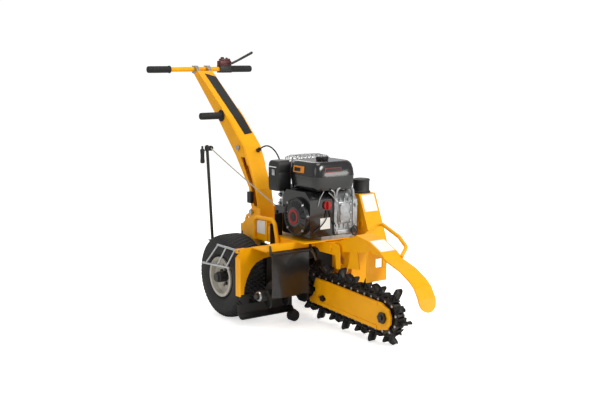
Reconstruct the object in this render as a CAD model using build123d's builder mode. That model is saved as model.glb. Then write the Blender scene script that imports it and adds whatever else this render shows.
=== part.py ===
from build123d import *
import os
from math import atan2, cos, degrees, hypot, pi, radians, sin, tan

os.makedirs("parts", exist_ok=True)

# A walk-behind chain trencher standing on its two tyres and the nose of its
# digging chain. +X is the operator's right, +Y points from the handlebar to
# the boom, +Z is up and z = 0 is the ground.

# Wheels
axle_y, axle_z = -160, 186
tyre_d, tyre_w, wheel_x = 372, 150, 236
rim_r, bead_r = 89, 79

# Drive shaft, boom and chain
head_y, head_z = 105, 146
nose_y, nose_z = 605, 121
boom_x, boom_half, boom_h = -25, 35, 115
pitch_r, links = 62, 32
cutter_h = 58
auger_r = 58
driven_r, crank_pulley_r = 50, 38

# Engine
deck_z = 380
crank_y, crank_z = 151, 480
tank_w, tank_l, tank_z0, tank_z1 = 216, 200, 590, 712

# Handlebar
bar_y, bar_z, bar_half = -833, 1090, 298
column_w = 86

axle_plane = Plane(origin=(0, axle_y, axle_z), x_dir=(1, 0, 0), z_dir=(0, -1, 0))
axle = Axis((0, axle_y, axle_z), (1, 0, 0))
head_plane = Plane(origin=(0, head_y, head_z), x_dir=(1, 0, 0), z_dir=(0, -1, 0))
crank_plane = Plane(origin=(0, crank_y, crank_z), x_dir=(0, 1, 0), z_dir=(1, 0, 0))

# ---------------------------------------------------------------- wheels
with BuildPart() as tyre_right:
    with BuildSketch(axle_plane):
        with BuildLine():
            Polyline((180, bead_r), (179, 94), (166, 104), (161, 128), (163, 156), (172, 176), (186, 184), (210, 186),
                     (262, 186), (286, 184), (300, 176), (309, 156), (311, 128), (306, 104), (293, 94), (292, bead_r), close=True)
        make_face()
    revolve(axis=axle)
tyre_right.part.label = "tyre_right"
export_step(tyre_right.part, "parts/tyre_right.step")

with BuildPart() as rim_right:
    with BuildSketch(axle_plane):
        with BuildLine():
            Polyline((168, rim_r), (174, rim_r), (177, bead_r), (295, bead_r), (298, rim_r), (306, rim_r), (306, 76),
                     (286, 70), (276, 58), (276, 24), (270, 24), (270, 60), (282, 74), (168, 74), close=True)
        make_face()
    revolve(axis=axle)
    # the disc's hand holes
    with BuildSketch(Plane.YZ.offset(260)):
        with Locations((axle_y, axle_z)):
            with PolarLocations(47, 5, 36):
                Circle(7)
    extrude(amount=30, mode=Mode.SUBTRACT)
rim_right.part.label = "rim_right"
export_step(rim_right.part, "parts/rim_right.step")

with BuildPart() as hub_right:
    with BuildSketch(axle_plane):
        with BuildLine():
            Polyline((170, 15.4), (170, 23), (264, 23), (264, 40), (270, 40), (270, 24), (276, 24), (314, 24), (318, 21),
                     (327, 19), (327, 0), (304, 0), (304, 15.4), close=True)
        make_face()
    revolve(axis=axle)
    with BuildSketch(Plane.YZ.offset(276)):
        with Locations((axle_y, axle_z)):
            with PolarLocations(33, 5):
                RegularPolygon(8, 6)
    extrude(amount=9)
hub_right.part.label = "hub_right"
export_step(hub_right.part, "parts/hub_right.step")

with BuildPart() as tyre_left:
    add(mirror(tyre_right.part, about=Plane.YZ))
tyre_left.part.label = "tyre_left"
export_step(tyre_left.part, "parts/tyre_left.step")

with BuildPart() as rim_left:
    add(mirror(rim_right.part, about=Plane.YZ))
rim_left.part.label = "rim_left"
export_step(rim_left.part, "parts/rim_left.step")

with BuildPart() as hub_left:
    add(mirror(hub_right.part, about=Plane.YZ))
hub_left.part.label = "hub_left"
export_step(hub_left.part, "parts/hub_left.step")

with BuildPart() as axle_bar:
    with BuildSketch(Plane.YZ.offset(-300)):
        with Locations((axle_y, axle_z)):
            Circle(15)
    extrude(amount=600)
axle_bar.part.label = "axle_bar"
export_step(axle_bar.part, "parts/axle_bar.step")

# --------------------------------------------------------------- chassis
# Two side rails under a folded deck, hanging plates that carry the axle.
with BuildPart() as chassis:
    with BuildSketch(Plane.XZ.offset(235)):
        with Locations((-120, 360), (120, 360)):
            Rectangle(30, 30)
            Rectangle(24, 24, mode=Mode.SUBTRACT)
    extrude(amount=-385)
    with Locations((0, 2.5, 377.5)):
        Box(270, 475, 5)
    # narrow tail under the foot of the column
    with Locations((0, -292.5, 377.5)):
        Box(150, 115, 5)
    with Locations((-60, -280, 360), (60, -280, 360)):
        Box(30, 140, 30)
    with Locations((0, -337, 360), (0, -222, 360)):
        Box(150, 26, 30)
    with Locations((-90, -222, 360), (90, -222, 360)):
        Box(30, 26, 30)
    with Locations((-109, axle_y, 260), (109, axle_y, 260)):
        Box(8, 120, 230)
    with BuildSketch(Plane.YZ.offset(-120)):
        with Locations((axle_y, axle_z)):
            Circle(15)
    extrude(amount=240, mode=Mode.SUBTRACT)
    # square cross tube at the front, capped at its right end
    with BuildSketch(Plane.YZ.offset(-82)):
        with Locations((165, 361)):
            Rectangle(28, 28)
            Rectangle(20, 20, mode=Mode.SUBTRACT)
    extrude(amount=344)
    with BuildSketch(Plane.YZ.offset(259)):
        with Locations((165, 361)):
            Rectangle(24, 24)
    extrude(amount=3)
chassis.part.label = "chassis"
export_step(chassis.part, "parts/chassis.step")

# rounded quadrant plates that hold the foot of the column, with a lifting eye
with BuildPart() as column_foot:
    for x0 in (-60, 54):
        with BuildSketch(Plane.YZ.offset(x0)):
            with BuildLine():
                Polyline((-332, 380), (-336, 402), (-324, 422), (-302, 432), (-288, 454), (-262, 462), (-205, 462), (-200, 380), close=True)
            make_face()
            with Locations((-306, 402)):
                Circle(13, mode=Mode.SUBTRACT)
            with Locations((-270, 440)):
                Circle(8.3, mode=Mode.SUBTRACT)
        extrude(amount=6)
    with Locations((0, -275, 383)):
        Box(120, 150, 6)
column_foot.part.label = "column_foot"
export_step(column_foot.part, "parts/column_foot.step")

# side hoop round the recoil starter
with BuildPart() as side_hoop:
    with BuildLine(Plane.YZ.offset(146)) as hoop_path:
        FilletPolyline((-122, 345), (-122, 446), (36, 452), (63, 349), radius=32)
    with BuildSketch(Plane.XY.offset(345)):
        with Locations((146, -122)):
            Circle(9)
    sweep()
    with Locations((145, -122, 349), (145, 64, 349)):
        Box(20, 26, 8)
    # plate between the hoop and the foot of the column
    with BuildSketch(Plane.YZ.offset(135)):
        with BuildLine():
            Polyline((-240, 386), (-212, 418), (-172, 440), (-140, 448), (-30, 456), (-30, 346), (-150, 346), (-196, 362), close=True)
        make_face()
    extrude(amount=4)
side_hoop.part.label = "side_hoop"
export_step(side_hoop.part, "parts/side_hoop.step")

# ----------------------------------------------------------- auger housing
# rear wall of the spoil auger, arched over the flights
with BuildPart() as auger_housing:
    with BuildSketch(Plane.XZ.offset(-33)):
        with BuildLine():
            Polyline((163, 144), (163, 345), (308, 345), (344, 309), (344, 144), close=True)
        make_face()
        with BuildLine():
            Polyline((163, 144), (163, 296), (204, 290), (242, 276), (268, 252), (290, 212), (302, 176), (306, 144), close=True)
        make_face(mode=Mode.SUBTRACT)
    extrude(amount=-5)
    with Locations((156, 90, 342.5)):
        Box(212, 124, 5)
    with Locations((341, 50, 226.5)):
        Box(6, 30, 165)
    # lugs for the wire guard's top rod
    for y0 in (28, 38):
        with BuildSketch(Plane.XZ.offset(-y0)):
            with BuildLine():
                Polyline((300, 346), (342, 346), (342, 329), (322, 328), (300, 340), close=True)
            make_face()
            with Locations((333, 338)):
                Circle(4.9, mode=Mode.SUBTRACT)
        extrude(amount=-5)
auger_housing.part.label = "auger_housing"
export_step(auger_housing.part, "parts/auger_housing.step")

# trough wall behind and under the auger, down to the spoil scraper edge
with BuildPart() as trough_plate:
    with BuildSketch(Plane.YZ.offset(50)):
        with BuildLine():
            Polyline((28, 340), (28, 60), (46, 42), (66, 42), (66, 46), (48, 46), (32, 62), (32, 340), close=True)
        make_face()
    extrude(amount=282)
    with BuildSketch(Plane.XZ.offset(-60)):
        with BuildLine():
            Polyline((182, 100), (182, 342), (336, 342), (336, 100), close=True)
        make_face()
    extrude(amount=60, mode=Mode.SUBTRACT)
    with BuildSketch(Plane.XZ.offset(-33)):
        with BuildLine():
            Polyline((322, 120), (322, 141), (270, 141), (280, 96), (300, 96), close=True)
        make_face()
    extrude(amount=5)
    # liner between the auger and the wheel
    with Locations((148, -20, 228)):
        Box(4, 96, 224)
    # splash plate that stands on the deck beside the engine
    with BuildSketch(Plane.XZ.offset(-20)):
        with BuildLine():
            Polyline((95, 380), (95, 478), (133, 478), (133, 436), (158, 436), (158, 345), (135, 345), (135, 380), close=True)
        make_face()
    extrude(amount=-4)
trough_plate.part.label = "trough_plate"
export_step(trough_plate.part, "parts/trough_plate.step")

with BuildPart() as rest_foot:
    with BuildSketch(Plane.XZ.offset(-66)):
        with Locations((78, 28)):
            Circle(25)
    extrude(amount=-28)
rest_foot.part.label = "rest_foot"
export_step(rest_foot.part, "parts/rest_foot.step")

# rubber curtain on a hinge rod in front of the auger
with BuildPart() as curtain:
    with BuildSketch(Plane.XZ.offset(-186)):
        with BuildLine():
            Polyline((72, 333), (262, 333), (258, 152), (92, 148), (72, 168), close=True)
        make_face()
    extrude(amount=-5)
    with BuildSketch(Plane.YZ.offset(72)):
        with Locations((188.5, 338)):
            Circle(7)
    extrude(amount=190)
    with BuildSketch(Plane.YZ.offset(72)):
        with Locations((188.5, 338)):
            Circle(4.3)
    extrude(amount=190, mode=Mode.SUBTRACT)
curtain.part.label = "curtain"
export_step(curtain.part, "parts/curtain.step")

with BuildPart() as curtain_rod:
    with BuildSketch(Plane.YZ.offset(56)):
        with Locations((188.5, 338)):
            Circle(4)
    extrude(amount=216)
    for x0 in (60, 264):
        with BuildSketch(Plane.YZ.offset(x0)):
            with BuildLine():
                Polyline((179, 374), (179, 334), (194, 334), (194, 350), (186, 374), close=True)
            make_face()
        extrude(amount=5)
curtain_rod.part.label = "curtain_rod"
export_step(curtain_rod.part, "parts/curtain_rod.step")

# wire guard beside the tyre, swinging on its top rod
with BuildPart() as wire_guard:
    with BuildSketch(Plane.XZ.offset(132)):
        with Locations((333, 338)):
            Circle(4.5)
    extrude(amount=-176)
    for y0, z0, y1, z1 in ((-127, 338, -233, 240), (-58, 338, -135, 246), (12, 338, -59, 252)):
        with BuildSketch(Plane(origin=(333, y0, z0), z_dir=(0, y1 - y0, z1 - z0))):
            Circle(4)
        extrude(amount=hypot(y1 - y0, z1 - z0))
    with BuildSketch(Plane(origin=(333, -262, 237.5), z_dir=(0, 235, 16))):
        Rectangle(8, 10)
    extrude(amount=232)
wire_guard.part.label = "wire_guard"
export_step(wire_guard.part, "parts/wire_guard.step")

# ------------------------------------------------------ drive shaft, auger
with BuildPart() as head_shaft:
    with BuildSketch(Plane.YZ.offset(-262)):
        with Locations((head_y, head_z)):
            Circle(15.5)
    extrude(amount=544)
    with BuildSketch(Plane.YZ.offset(282)):
        with Locations((head_y, head_z)):
            RegularPolygon(13, 6)
    extrude(amount=9)
    # driven pulley inside the left-hand case
    with BuildSketch(Plane.YZ.offset(-232)):
        with Locations((head_y, head_z)):
            Circle(driven_r)
    extrude(amount=32)
head_shaft.part.label = "head_shaft"
export_step(head_shaft.part, "parts/head_shaft.step")

# spoil auger: a tube with half-moon flights set at alternate angles
auger_turns = [(84, 0), (84, 1), (134, 0), (134, 1), (184, 0), (184, 1), (234, 0), (234, 1)]
with BuildPart() as auger:
    with BuildSketch(Plane.YZ.offset(60)):
        with Locations((head_y, head_z)):
            Circle(24)
    extrude(amount=210)
    for x0, half in auger_turns:
        tilt = 23 if half else -23
        with BuildSketch(Plane(origin=(x0 + (0 if half else 0), head_y, head_z), x_dir=(0, 1, 0), z_dir=(cos(radians(tilt)), 0, sin(radians(tilt))))):
            Circle(auger_r)
            with Locations(((30 + 0.0) * (-1 if half else 1), 0)):
                Rectangle(60, 140, mode=Mode.INTERSECT)
        extrude(amount=5)
    with BuildSketch(Plane.YZ.offset(59)):
        with Locations((head_y, head_z)):
            Circle(15.5)
    extrude(amount=212, mode=Mode.SUBTRACT)
auger.part.label = "auger"
export_step(auger.part, "parts/auger.step")

with BuildPart() as drive_sprocket:
    with BuildSketch(Plane.YZ.offset(boom_x - 9)):
        with Locations((head_y, head_z)):
            Circle(45)
            Circle(15.5, mode=Mode.SUBTRACT)
            with PolarLocations(33, 6):
                Circle(5, mode=Mode.SUBTRACT)
    extrude(amount=18)
    with BuildSketch(Plane.YZ.offset(boom_x + 9)):
        with Locations((head_y, head_z)):
            Circle(27)
            Circle(15.5, mode=Mode.SUBTRACT)
    extrude(amount=22)
drive_sprocket.part.label = "drive_sprocket"
export_step(drive_sprocket.part, "parts/drive_sprocket.step")

# bearing plates that hang from the deck and carry the shaft
bearing_xs = (-92, 44)
with BuildPart() as bearing_plates:
    for x0 in bearing_xs:
        with BuildSketch(Plane.YZ.offset(x0)):
            with BuildLine():
                Polyline((38, 346), (38, 200), (60, 110), (84, 92), (126, 92), (150, 112), (150, 346), close=True)
            make_face()
            with Locations((head_y, head_z)):
                Circle(16.5, mode=Mode.SUBTRACT)
        extrude(amount=6)
bearing_plates.part.label = "bearing_plates"
export_step(bearing_plates.part, "parts/bearing_plates.step")

with BuildPart() as shaft_bearings:
    for x0 in (-106, 30):
        with BuildSketch(Plane.YZ.offset(x0)):
            with Locations((head_y, head_z)):
                Circle(34)
                Circle(15.8, mode=Mode.SUBTRACT)
        extrude(amount=14)
shaft_bearings.part.label = "shaft_bearings"
export_step(shaft_bearings.part, "parts/shaft_bearings.step")

# ------------------------------------------------------------------ boom
boom_tilt = atan2(nose_z - head_z, nose_y - head_y)
boom_len = hypot(nose_y - head_y, nose_z - head_z)
boom_plane = Plane(origin=(boom_x, head_y, head_z), x_dir=(0, cos(boom_tilt), sin(boom_tilt)), z_dir=(1, 0, 0))

with BuildPart() as boom:
    # core bar that the chain rides on
    with BuildSketch(boom_plane.offset(-27)):
        with BuildLine():
            Polyline((60, -45), (60, 45), (boom_len - 58, 45), (boom_len - 58, -45), close=True)
        make_face()
    extrude(amount=54)
    for z0 in (-boom_half, boom_half - 8):
        with BuildSketch(boom_plane.offset(z0)):
            with BuildLine():
                Polyline((48, 57.5), (boom_len - 20, 57.5), (boom_len + 30, 40), (boom_len + 46, 12), (boom_len + 46, -16),
                         (boom_len + 26, -44), (boom_len - 20, -57.5), (10, -57.5), (6, -48), close=True)
            make_face()
            Circle(38, mode=Mode.SUBTRACT)
            with Locations((40, 4)):
                Rectangle(16, 20, mode=Mode.SUBTRACT)
        extrude(amount=8)
    # raised edge bands on the outer faces
    for z0, z1 in ((boom_half, 3), (-boom_half, -3)):
        with BuildSketch(boom_plane.offset(z0)):
            with Locations((boom_len / 2 + 15, 48), (boom_len / 2 + 15, -48)):
                Rectangle(boom_len - 100, 15)
        extrude(amount=z1)
    # take-up slot and nose axle hole
    with BuildSketch(boom_plane.offset(-40)):
        with Locations((96, -22)):
            SlotOverall(56, 14)
        with Locations((boom_len, 0)):
            Circle(12)
    extrude(amount=80, mode=Mode.SUBTRACT)
boom.part.label = "boom"
export_step(boom.part, "parts/boom.step")

with BuildPart() as nose_roller:
    with BuildSketch(boom_plane.offset(-20)):
        with Locations((boom_len, 0)):
            Circle(45)
            Circle(12.3, mode=Mode.SUBTRACT)
    extrude(amount=40)
nose_roller.part.label = "nose_roller"
export_step(nose_roller.part, "parts/nose_roller.step")

with BuildPart() as boom_bolts:
    with BuildSketch(boom_plane.offset(-boom_half - 4)):
        with Locations((boom_len, 0)):
            Circle(12)
    extrude(amount=2 * boom_half + 4)
    with BuildSketch(boom_plane.offset(boom_half)):
        with Locations((boom_len, 0)):
            RegularPolygon(24, 6)
    extrude(amount=12)
    with BuildSketch(boom_plane.offset(boom_half + 12)):
        with Locations((boom_len, 0)):
            Circle(10)
    extrude(amount=6)
    with BuildSketch(boom_plane.offset(-boom_half - 4)):
        with Locations((104, -22)):
            Circle(6.5)
    extrude(amount=2 * boom_half + 4)
    with BuildSketch(boom_plane.offset(boom_half)):
        with Locations((104, -22)):
            Circle(14)
    extrude(amount=3)
    with BuildSketch(boom_plane.offset(boom_half + 3)):
        with Locations((104, -22)):
            RegularPolygon(11, 6)
    extrude(amount=8)
boom_bolts.part.label = "boom_bolts"
export_step(boom_bolts.part, "parts/boom_bolts.step")

# cheek plates from the boom up to the front tube, with the crumber's pivot bores
crumber_y, crumber_z = 288, 358
with BuildPart() as boom_arm:
    with BuildSketch(Plane.YZ.offset(-82)):
        with BuildLine():
            Polyline((179, 374), (242, 374), (300, 379), (309, 370), (309, 340), (290, 318), (262, 236), (222, 186),
                     (222, 126), (190, 116), (172, 136), (160, 190), (160, 340), (179, 346), close=True)
        make_face()
        with Locations((226, 280)):
            Circle(20, mode=Mode.SUBTRACT)
        with Locations((crumber_y, crumber_z)):
            Circle(8.4, mode=Mode.SUBTRACT)
    extrude(amount=6)
    # the other cheek is a short bracket with a leg in front of the chain
    with BuildSketch(Plane.YZ.offset(26)):
        with BuildLine():
            Polyline((179, 374), (242, 374), (300, 379), (338, 376), (348, 366), (350, 276), (328, 274), (322, 330), (212, 330),
                     (196, 346), (179, 346), close=True)
        make_face()
        with Locations((crumber_y, crumber_z)):
            Circle(8.4, mode=Mode.SUBTRACT)
    extrude(amount=6)
    with Locations((-25, 204, 356)):
        Box(102, 50, 30)
    with Locations((-68, 190, 159)):
        Box(16, 30, 36)
boom_arm.part.label = "boom_arm"
export_step(boom_arm.part, "parts/boom_arm.step")

# digging chain: pins along a closed racetrack round the two centres
perimeter = 2 * boom_len + 2 * pi * pitch_r


def on_track(s):
    s = s % perimeter
    if s < boom_len:
        return s, pitch_r
    s -= boom_len
    if s < pi * pitch_r:
        a = pi / 2 - s / pitch_r
        return boom_len + pitch_r * cos(a), pitch_r * sin(a)
    s -= pi * pitch_r
    if s < boom_len:
        return boom_len - s, -pitch_r
    a = -pi / 2 - (s - boom_len) / pitch_r
    return pitch_r * cos(a), pitch_r * sin(a)


pins = [on_track((i + 0.35) * perimeter / links) for i in range(links)]
spans = []
for i in range(links):
    (x0, y0), (x1, y1) = pins[i], pins[(i + 1) % links]
    spans.append(((x0 + x1) / 2, (y0 + y1) / 2, hypot(x1 - x0, y1 - y0), degrees(atan2(y1 - y0, x1 - x0))))

with BuildPart() as chain:
    for parity, z0 in ((0, 10), (0, -14), (1, 14), (1, -18)):
        with BuildSketch(boom_plane.offset(z0)):
            for mx, my, run, turn in spans[parity::2]:
                with Locations((mx, my)):
                    SlotCenterToCenter(run, 23, rotation=turn)
        extrude(amount=4)
    with BuildSketch(boom_plane.offset(-10)):
        with Locations(*pins):
            Circle(9)
    extrude(amount=20)
    with BuildSketch(boom_plane.offset(-21)):
        with Locations(*pins):
            Circle(6)
    extrude(amount=42)
chain.part.label = "chain"
export_step(chain.part, "parts/chain.step")

# cup cutters, bolted to every outer link, right and left hand in turn
for name, first, side in (("cutters_right", 1, 1), ("cutters_left", 3, -1)):
    with BuildPart() as cutters:
        for mx, my, run, turn in spans[first::4]:
            c, s = cos(radians(turn)), sin(radians(turn))
            base = boom_plane.location * Location((mx, my, 0), (0, 0, turn))
            with BuildSketch(Plane(base).offset(-18 if side > 0 else -49)):
                with BuildLine():
                    Polyline((-15, 11.5), (15, 11.5), (15, 18), (4, 19), (-8, cutter_h - 6), (-14, cutter_h), (-20, cutter_h), (-10, 19), (-15, 18), close=True)
                make_face()
            extrude(amount=67)
            with BuildSketch(Plane(base).offset(-20)):
                with BuildLine():
                    Polyline((-16, 19), (-10, 19), (-20, cutter_h), (-28, cutter_h), close=True)
                make_face()
            extrude(amount=60 if side < 0 else -60, mode=Mode.SUBTRACT)
    cutters.part.label = name
    export_step(cutters.part, f"parts/{name}.step")
print("chain pitch", perimeter / links)

# --------------------------------------------------------------- crumber
# curved strap that follows behind the chain, with its side webs and loop handle
strap = [(440, 432), (520, 419), (597, 383), (630, 358), (710, 333), (766, 303), (797, 278), (822, 238), (836, 186)]
with BuildPart() as crumber_arm:
    with BuildSketch(Plane.YZ.offset(boom_x - 43)):
        with BuildLine():
            l1 = Polyline(*strap)
            l2 = Polyline(*[(y - 1.5, z - 6) for y, z in strap[:6]], *[(y - 6, z - 2) for y, z in strap[6:]])
            Line(l1 @ 0, l2 @ 0)
            Line(l1 @ 1, l2 @ 1)
        make_face()
    extrude(amount=86)
    # rounded tongue end
    with BuildSketch(Plane(origin=(boom_x, 900, 186), x_dir=(1, 0, 0), z_dir=(0, -1, 0))):
        with Locations((0, -10)):
            Rectangle(120, 56, align=(Align.CENTER, Align.MIN))
        with Locations((0, 43)):
            Circle(43, mode=Mode.SUBTRACT)
    extrude(amount=100, mode=Mode.SUBTRACT)
    web_top = [(y - 1, z - 4) for y, z in strap[:3]]
    with BuildSketch(Plane.YZ.offset(-66)):
        with BuildLine():
            Polyline((272, 370), (300, 379), (360, 402), *web_top, (604, 366), (531, 372), (400, 362), (330, 342), (276, 340), close=True)
        make_face()
    extrude(amount=6)
    with BuildSketch(Plane.YZ.offset(10)):
        with BuildLine():
            Polyline((272, 370), (300, 379), (360, 402), *web_top, (604, 366), (531, 372), (448, 362), (459, 292), (387, 282), (398, 356),
                     (330, 342), (276, 340), close=True)
        make_face()
    extrude(amount=6)
    # cross plate that hangs behind the teeth
    with BuildSketch(Plane.XZ.offset(-525)):
        with BuildLine():
            Polyline((34, 252), (34, 372), (16, 380), (-60, 380), (-70, 372), (-70, 252), close=True)
        make_face()
        with Locations((-30, 326)):
            Rectangle(34, 36, mode=Mode.SUBTRACT)
    extrude(amount=-6)
    with BuildSketch(Plane.YZ.offset(-90)):
        with Locations((crumber_y, crumber_z)):
            Circle(8)
    extrude(amount=130)
    for x0 in (-90, 33):
        with BuildSketch(Plane.YZ.offset(x0)):
            with Locations((crumber_y, crumber_z)):
                RegularPolygon(14, 6)
        extrude(amount=7)
crumber_arm.part.label = "crumber_arm"
export_step(crumber_arm.part, "parts/crumber_arm.step")

with BuildPart() as crumber_handle:
    with BuildLine() as handle_path:
        FilletPolyline((-66, 384, 404), (-148, 396, 462), (-128, 540, 424), (-104, 612, 396), (-68, 622, 362), radius=24)
    with BuildSketch(Plane(origin=handle_path.line @ 0, z_dir=handle_path.line % 0)):
        Circle(8)
    sweep()
crumber_handle.part.label = "crumber_handle"
export_step(crumber_handle.part, "parts/crumber_handle.step")

# ---------------------------------------------------------------- engine
with BuildPart() as engine_block:
    with BuildSketch(Plane.YZ.offset(-154)):
        with BuildLine():
            Polyline((34, 396), (34, 540), (70, 586), (190, 586), (235, 540), (235, 396), close=True)
        make_face()
        fillet(vertices(), 12)
    extrude(amount=131)
    with Locations((-50, 128, 388)):
        Box(180, 214, 16)
    with BuildSketch(Plane.YZ.offset(-164)):
        with Locations((crank_y, crank_z)):
            Circle(72)
    extrude(amount=10)
    # oil filler bosses on the front face
    with BuildSketch(Plane.XZ.offset(-235)):
        with Locations((-120, 412)):
            Circle(13)
    extrude(amount=-10)
    # ribs on the front face
    for x0 in (-128, -104, -80, -56):
        with Locations((x0, 236, 490)):
            Box(4, 6, 130)
engine_block.part.label = "engine_block"
export_step(engine_block.part, "parts/engine_block.step")

with BuildPart() as dipstick:
    with BuildSketch(Plane.XZ.offset(-245.3)):
        with Locations((-120, 412)):
            RegularPolygon(14, 8)
    extrude(amount=-14)
    with BuildSketch(Plane.XZ.offset(-259.3)):
        with Locations((-120, 412)):
            Rectangle(22, 6)
    extrude(amount=-8)
dipstick.part.label = "dipstick"
export_step(dipstick.part, "parts/dipstick.step")

lean = Plane(origin=(-38, 8, 500), x_dir=(1, 0, 0), z_dir=(0, -cos(radians(25)), sin(radians(25))))
with BuildPart() as cylinder:
    with BuildSketch(lean):
        RectangleRounded(76, 80, 12)
    extrude(amount=92)
    for d in (8, 20, 32, 44, 56, 68):
        with BuildSketch(lean.offset(d)):
            RectangleRounded(112, 106, 14)
        extrude(amount=4)
    with BuildSketch(lean.offset(80)):
        RectangleRounded(92, 92, 14)
    extrude(amount=26)
    with Locations((-54, 12, 505)):
        Box(60, 44, 56)
cylinder.part.label = "cylinder"
export_step(cylinder.part, "parts/cylinder.step")

with BuildPart() as fan_shroud:
    with BuildSketch(Plane.YZ.offset(-23)):
        with BuildLine():
            Polyline((36, 396), (36, 560), (64, 588), (200, 588), (235, 556), (235, 396), close=True)
        make_face()
        fillet(vertices().sort_by(Axis.Y)[1:2] + vertices().group_by(Axis.X)[0], 1)
    extrude(amount=123)
    with BuildSketch(Plane.YZ.offset(30)):
        with Locations((0, 441.5)):
            RectangleRounded(80, 89, 10)
    extrude(amount=62)
fan_shroud.part.label = "fan_shroud"
export_step(fan_shroud.part, "parts/fan_shroud.step")

with BuildPart() as recoil_cover:
    with BuildSketch(crank_plane.offset(100)):
        Circle(82)
    extrude(amount=16)
    with BuildSketch(crank_plane.offset(116)):
        Circle(70)
    with BuildSketch(crank_plane.offset(126)):
        Circle(44)
    loft()
    # cooling slots
    with BuildSketch(crank_plane.offset(108)):
        with PolarLocations(60, 14):
            SlotOverall(18, 6)
    extrude(amount=30, mode=Mode.SUBTRACT)
    # rope snout
    with Locations((110, 42, 503)):
        Box(20, 70, 22)
recoil_cover.part.label = "recoil_cover"
export_step(recoil_cover.part, "parts/recoil_cover.step")

with BuildPart() as fuel_tank:
    with BuildSketch(Plane.XY.offset(tank_z0)):
        with Locations((-38, 135)):
            RectangleRounded(tank_w - 30, tank_l - 24, 24)
    with BuildSketch(Plane.XY.offset(650)):
        with Locations((-38, 135)):
            RectangleRounded(tank_w, tank_l, 30)
    with BuildSketch(Plane.XY.offset(tank_z1)):
        with Locations((-38, 135)):
            RectangleRounded(tank_w - 34, tank_l - 34, 30)
    loft(ruled=True)
    # moulding seam flange
    with BuildSketch(Plane.XY.offset(647)):
        with Locations((-38, 135)):
            RectangleRounded(tank_w + 8, tank_l + 8, 32)
    extrude(amount=6)
fuel_tank.part.label = "fuel_tank"
export_step(fuel_tank.part, "parts/fuel_tank.step")

with BuildPart() as fuel_cap:
    with BuildSketch(Plane.XY.offset(tank_z1 + 0.3)):
        with Locations((-38, 135)):
            Circle(27)
            with PolarLocations(27, 12):
                Circle(2.5, mode=Mode.SUBTRACT)
    extrude(amount=14)
fuel_cap.part.label = "fuel_cap"
export_step(fuel_cap.part, "parts/fuel_cap.step")

with BuildPart() as air_cleaner:
    with BuildSketch(Plane.YZ.offset(44)):
        with BuildLine():
            Polyline((-54, 574), (-54, 686), (-40, 702), (18, 706), (26, 698), (26, 574), close=True)
        make_face()
        fillet(vertices(), 6)
    extrude(amount=76)
    with Locations((120, -14, 655)):
        Box(4, 76, 6)
    # carburettor throat below
    with Locations((52, -22, 530)):
        Box(32, 50, 88)
air_cleaner.part.label = "air_cleaner"
export_step(air_cleaner.part, "parts/air_cleaner.step")

with BuildPart() as choke_lever:
    with BuildSketch(Plane.YZ.offset(92.4)):
        with Locations((-22, 456)):
            Circle(8)
        with Locations((-22, 474)):
            Rectangle(7, 34)
        with Locations((-22, 490)):
            Circle(6)
    extrude(amount=5)
choke_lever.part.label = "choke_lever"
export_step(choke_lever.part, "parts/choke_lever.step")

with BuildPart() as engine_switch:
    with BuildSketch(Plane.XZ.offset(-235.3)):
        with Locations((12, 530)):
            Circle(19)
    extrude(amount=-8)
    with BuildSketch(Plane.XZ.offset(-243.3)):
        with Locations((12, 530)):
            Rectangle(9, 32)
    extrude(amount=-10)
engine_switch.part.label = "engine_switch"
export_step(engine_switch.part, "parts/engine_switch.step")

with BuildPart() as muffler:
    with BuildSketch(Plane.XZ.offset(10)):
        with Locations((-100, 646)):
            RectangleRounded(150, 84, 24)
    extrude(amount=92)
    with Locations((-60, -40, 596)):
        Box(44, 40, 24)
muffler.part.label = "muffler"
export_step(muffler.part, "parts/muffler.step")

with BuildPart() as muffler_guard:
    with Locations((-100, -58, 668)):
        Box(176, 116, 104)
    with Locations((-100, -58, 664)):
        Box(170, 110, 104, mode=Mode.SUBTRACT)
    with BuildSketch(Plane.XY.offset(700)):
        with Locations((-100, -58)):
            with GridLocations(20, 30, 7, 3):
                SlotOverall(22, 6, rotation=90)
    extrude(amount=30, mode=Mode.SUBTRACT)
    with BuildSketch(Plane.XZ.offset(-10)):
        with Locations((-100, 672)):
            with GridLocations(20, 30, 7, 2):
                SlotOverall(22, 6, rotation=90)
    extrude(amount=140, mode=Mode.SUBTRACT)
    # feet down to the cylinder head
    with Locations((-70, -112, 606), (-6, -112, 606)):
        Box(14, 4, 30)
muffler_guard.part.label = "muffler_guard"
export_step(muffler_guard.part, "parts/muffler_guard.step")

# ------------------------------------------------------ belt drive covers
guard_line = [(-20, 384), (20, 500), (120, 560), (221, 560), (256, 478), (304, 361), (300, 320), (60, 320), (40, 384)]
with BuildPart() as belt_guard:
    with BuildSketch(Plane.YZ.offset(-266)):
        with BuildLine():
            Polyline(*guard_line, close=True)
        make_face()
    extrude(amount=91)
    with BuildSketch(Plane.YZ.offset(-262)):
        with BuildLine():
            Polyline((-14, 388), (24, 497), (121, 556), (218, 556), (252, 477), (300, 361), (296, 319), (64, 319), (43, 388), close=True)
        make_face()
    extrude(amount=83, mode=Mode.SUBTRACT)
    with BuildSketch(Plane.YZ.offset(-180)):
        with Locations((crank_y, crank_z)):
            Circle(22)
    extrude(amount=10, mode=Mode.SUBTRACT)
    # round sight boss
    with BuildSketch(Plane.YZ.offset(-175)):
        with Locations((232, 432)):
            Circle(18)
            Circle(11, mode=Mode.SUBTRACT)
    extrude(amount=4)
belt_guard.part.label = "belt_guard"
export_step(belt_guard.part, "parts/belt_guard.step")

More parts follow.
